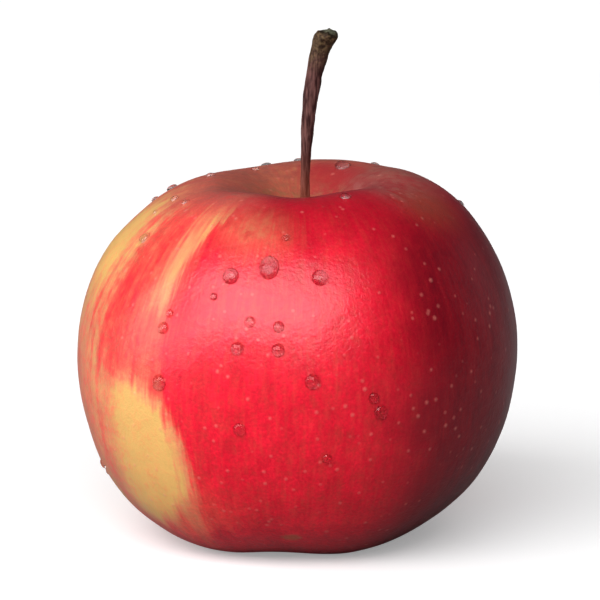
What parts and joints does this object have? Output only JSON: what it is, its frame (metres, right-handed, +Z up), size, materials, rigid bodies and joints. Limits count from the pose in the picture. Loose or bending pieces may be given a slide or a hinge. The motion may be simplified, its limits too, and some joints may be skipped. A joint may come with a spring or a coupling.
{
  "type": "crab apple",
  "caption": "Whole ripe crab apple with a slender bent stem, a red skin over yellow, and a dried calyx underneath; stands on its lobed base.",
  "frame": {"origin": "on the surface that the fruit stands on, under the middle of its outline", "axes": "+Z up along the core towards the stem, +X to the side that the stem leans to, -Y to the front with the large pink sheen"},
  "size_m": [0.045, 0.044, 0.0524],
  "materials": {
    "skin": "waxy semi-gloss fruit skin, crimson with a yellow ground on one side",
    "stem_bark": "dull, finely wrinkled, red-brown stem",
    "dried_sepal": "dry, matt, downy brown leaf",
    "withered_stamen": "dry, matt, dark brown threads"
  },
  "bodies": {
    "root": {"fruit": "skin", "stem": "stem_bark", "sepal_1": "dried_sepal", "sepal_2": "dried_sepal", "sepal_3": "dried_sepal", "sepal_4": "dried_sepal", "sepal_5": "dried_sepal", "stamens": "withered_stamen"}
  },
  "joints": []
}
